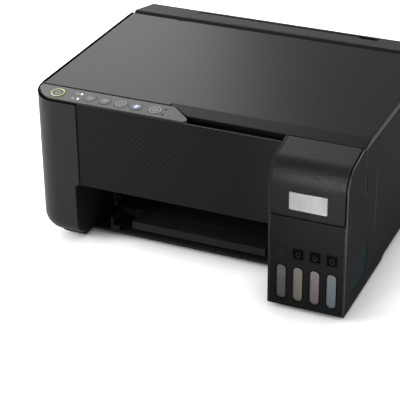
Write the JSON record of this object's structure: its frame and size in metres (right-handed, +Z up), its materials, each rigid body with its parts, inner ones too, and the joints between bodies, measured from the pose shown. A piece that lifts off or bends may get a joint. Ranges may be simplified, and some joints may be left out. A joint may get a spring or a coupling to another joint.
{
  "type": "inkjet printer",
  "caption": "Compact tank inkjet printer with flatbed scanner lid, sloping control panel, windowed ink tank unit with a tip-forward cover, output tray and rear paper feed.",
  "frame": {"origin": "centre of the footprint on the table, under the feet", "axes": "+Z up, +X to the right as seen from the front, the front faces -Y"},
  "size_m": [0.375, 0.347, 0.179],
  "materials": {
    "case_black": "satin",
    "lid_black": "satin",
    "panel_grey": "satin",
    "button_grey": "satin",
    "lamp": "gloss",
    "tank_clear": "gloss",
    "smoke_pane": "gloss",
    "inner_black": "matte",
    "inner_grey": "matte",
    "white_plastic": "matte",
    "rubber": "matte",
    "sheet_steel": "satin",
    "bed_glass": "gloss",
    "board_green": "satin"
  },
  "bodies": {
    "chassis": {"base_tray": "case_black", "rubber_feet": "rubber", "left_side_cover": "case_black", "right_side_cover": "case_black", "side_window": "smoke_pane", "rear_cover": "case_black", "front_panel": "case_black", "tank_left_cheek": "case_black", "tank_right_cheek": "case_black", "tank_case": "case_black", "ink_tank_block": "tank_clear", "control_panel": "panel_grey", "indicator_lights": "lamp", "panel_board": "board_green", "main_frame": "sheet_steel", "guide_rod": "sheet_steel", "timing_belt": "rubber", "carriage_motor": "sheet_steel", "feed_motor": "sheet_steel", "platen": "inner_black", "maintenance_station": "inner_grey", "feeder_housing": "case_black", "hopper": "inner_black", "main_board": "board_green", "power_supply": "inner_black"},
    "scanner_unit": {"scanner_tub": "case_black", "scanner_frame": "case_black", "scanner_glass": "bed_glass", "scan_rod": "sheet_steel"},
    "lid": {"lid_cover": "lid_black", "lid_pad": "white_plastic"},
    "carriage": {"print_carriage": "inner_black", "print_head": "inner_grey"},
    "scan_bar": {"scan_bar": "inner_black"},
    "tank_cover": {"tank_cover": "case_black"},
    "output_tray": {"output_tray": "inner_black"},
    "tray_extension": {"tray_extension": "inner_black"},
    "paper_stopper": {"paper_stopper": "inner_black"},
    "paper_support": {"paper_support": "case_black"},
    "feeder_guard": {"feeder_guard": "case_black"},
    "edge_guide_left": {"edge_guide_left": "inner_black"},
    "edge_guide_right": {"edge_guide_right": "inner_black"},
    "feed_roller": {"feed_roller": "inner_grey"},
    "exit_roller": {"exit_roller": "inner_grey"},
    "idler_gear": {"idler_gear": "white_plastic"},
    "feed_pinion": {"feed_pinion": "white_plastic"},
    "star_wheels": {"star_wheels": "sheet_steel"},
    "pickup_roller": {"pickup_roller": "rubber"},
    "motor_pulley": {"motor_pulley": "inner_grey"},
    "idler_pulley": {"idler_pulley": "inner_grey"},
    "power_button": {"power_button": "button_grey"},
    "tank_cap_1": {"tank_cap_1": "inner_grey"},
    "tank_cap_2": {"tank_cap_2": "inner_grey"},
    "tank_cap_3": {"tank_cap_3": "inner_grey"},
    "tank_cap_4": {"tank_cap_4": "inner_grey"},
    "panel_button_1": {"panel_button_1": "button_grey"},
    "panel_button_2": {"panel_button_2": "button_grey"},
    "panel_button_3": {"panel_button_3": "button_grey"},
    "panel_button_4": {"panel_button_4": "button_grey"},
    "panel_button_5": {"panel_button_5": "button_grey"}
  },
  "joints": [
    {"name": "scanner_lift", "type": "hinge", "parent": "chassis", "child": "scanner_unit", "pos_m": [0, 0.117, 0.167], "axis": [-1, 0, 0], "range_deg": [0, 25]},
    {"name": "lid_lift", "type": "hinge", "parent": "scanner_unit", "child": "lid", "pos_m": [0, 0.1126, 0.1754], "axis": [-1, 0, 0], "range_deg": [0, 70]},
    {"name": "scan_travel", "type": "slide", "parent": "scanner_unit", "child": "scan_bar", "axis": [1, 0, 0], "range_m": [0, 0.27]},
    {"name": "tank_cover_tip", "type": "hinge", "parent": "chassis", "child": "tank_cover", "pos_m": [0.1455, -0.1715, 0.1125], "axis": [1, 0, 0], "range_deg": [0, 95]},
    {"name": "tray_pull", "type": "slide", "parent": "chassis", "child": "output_tray", "axis": [0, -1, 0], "range_m": [0, 0.1]},
    {"name": "extension_pull", "type": "slide", "parent": "output_tray", "child": "tray_extension", "axis": [0, -1, 0], "range_m": [0, 0.095]},
    {"name": "stopper_tip", "type": "hinge", "parent": "tray_extension", "child": "paper_stopper", "pos_m": [-0.006, -0.09975, 0.02175], "axis": [1, 0, 0], "range_deg": [0, 80]},
    {"name": "support_raise", "type": "slide", "parent": "chassis", "child": "paper_support", "axis": [0, 0.3091, 0.951], "range_m": [0, 0.08]},
    {"name": "guard_tip", "type": "hinge", "parent": "chassis", "child": "feeder_guard", "pos_m": [-0.005, 0.13025, 0.1756], "axis": [1, 0, 0], "range_deg": [0, 70]},
    {"name": "guide_left_close", "type": "slide", "parent": "chassis", "child": "edge_guide_left", "axis": [1, 0, 0], "range_m": [0, 0.05]},
    {"name": "guide_right_close", "type": "slide", "parent": "chassis", "child": "edge_guide_right", "axis": [-1, 0, 0], "range_m": [0, 0.05]},
    {"name": "carriage_travel", "type": "slide", "parent": "chassis", "child": "carriage", "axis": [-1, 0, 0], "range_m": [0, 0.185]},
    {"name": "feed_turn", "type": "hinge", "parent": "chassis", "child": "feed_roller", "pos_m": [0, 0.0265, 0.066], "axis": [1, 0, 0], "continuous": true},
    {"name": "idler_turn", "type": "hinge", "parent": "chassis", "child": "idler_gear", "pos_m": [0, -0.0085, 0.066], "axis": [1, 0, 0], "continuous": true},
    {"name": "exit_turn", "type": "hinge", "parent": "chassis", "child": "exit_roller", "pos_m": [0, -0.0435, 0.066], "axis": [1, 0, 0], "continuous": true},
    {"name": "star_turn", "type": "hinge", "parent": "chassis", "child": "star_wheels", "pos_m": [0, -0.0435, 0.0773], "axis": [1, 0, 0], "continuous": true},
    {"name": "pinion_turn", "type": "hinge", "parent": "chassis", "child": "feed_pinion", "pos_m": [0, 0.04833, 0.05142], "axis": [1, 0, 0], "continuous": true},
    {"name": "pickup_turn", "type": "hinge", "parent": "chassis", "child": "pickup_roller", "pos_m": [0, 0.11385, 0.088], "axis": [1, 0, 0], "continuous": true},
    {"name": "cap_1_flip", "type": "hinge", "parent": "chassis", "child": "tank_cap_1", "pos_m": [0.1182, -0.133, 0.1156], "axis": [-1, 0, 0], "range_deg": [0, 100]},
    {"name": "cap_2_flip", "type": "hinge", "parent": "chassis", "child": "tank_cap_2", "pos_m": [0.1364, -0.133, 0.1156], "axis": [-1, 0, 0], "range_deg": [0, 100]},
    {"name": "cap_3_flip", "type": "hinge", "parent": "chassis", "child": "tank_cap_3", "pos_m": [0.1546, -0.133, 0.1156], "axis": [-1, 0, 0], "range_deg": [0, 100]},
    {"name": "cap_4_flip", "type": "hinge", "parent": "chassis", "child": "tank_cap_4", "pos_m": [0.1728, -0.133, 0.1156], "axis": [-1, 0, 0], "range_deg": [0, 100]},
    {"name": "power_button_press", "type": "slide", "parent": "chassis", "child": "power_button", "axis": [0, 0, -1], "range_m": [0, 0.0008], "stiffness_N_per_m": 400, "springref_m": -0.0005},
    {"name": "panel_button_1_press", "type": "slide", "parent": "chassis", "child": "panel_button_1", "axis": [0, 0, -1], "range_m": [0, 0.0008], "stiffness_N_per_m": 400, "springref_m": -0.0005},
    {"name": "panel_button_2_press", "type": "slide", "parent": "chassis", "child": "panel_button_2", "axis": [0, 0, -1], "range_m": [0, 0.0008], "stiffness_N_per_m": 400, "springref_m": -0.0005},
    {"name": "panel_button_3_press", "type": "slide", "parent": "chassis", "child": "panel_button_3", "axis": [0, 0, -1], "range_m": [0, 0.0008], "stiffness_N_per_m": 400, "springref_m": -0.0005},
    {"name": "panel_button_4_press", "type": "slide", "parent": "chassis", "child": "panel_button_4", "axis": [0, 0, -1], "range_m": [0, 0.0008], "stiffness_N_per_m": 400, "springref_m": -0.0005},
    {"name": "panel_button_5_press", "type": "slide", "parent": "chassis", "child": "panel_button_5", "axis": [0, 0, -1], "range_m": [0, 0.0008], "stiffness_N_per_m": 400, "springref_m": -0.0005},
    {"name": "motor_pulley_turn", "type": "hinge", "parent": "chassis", "child": "motor_pulley", "pos_m": [-0.124, 0.032, 0.112], "axis": [0, 1, 0], "range_deg": [0, 1540]},
    {"name": "idler_pulley_turn", "type": "hinge", "parent": "chassis", "child": "idler_pulley", "pos_m": [0.112, 0.032, 0.112], "axis": [0, 1, 0], "range_deg": [0, 1540]}
  ],
  "couplings": [
    {"joint": "guide_right_close", "follows": "guide_left_close", "ratio": 1},
    {"joint": "idler_turn", "follows": "feed_turn", "ratio": -1.3333},
    {"joint": "exit_turn", "follows": "feed_turn", "ratio": 1},
    {"joint": "pinion_turn", "follows": "feed_turn", "ratio": -3.2},
    {"joint": "star_turn", "follows": "feed_turn", "ratio": -0.83333},
    {"joint": "pickup_turn", "follows": "feed_turn", "ratio": -0.375},
    {"joint": "motor_pulley_turn", "follows": "carriage_travel", "rad_per_m": 144.93},
    {"joint": "idler_pulley_turn", "follows": "carriage_travel", "rad_per_m": 144.93}
  ]
}
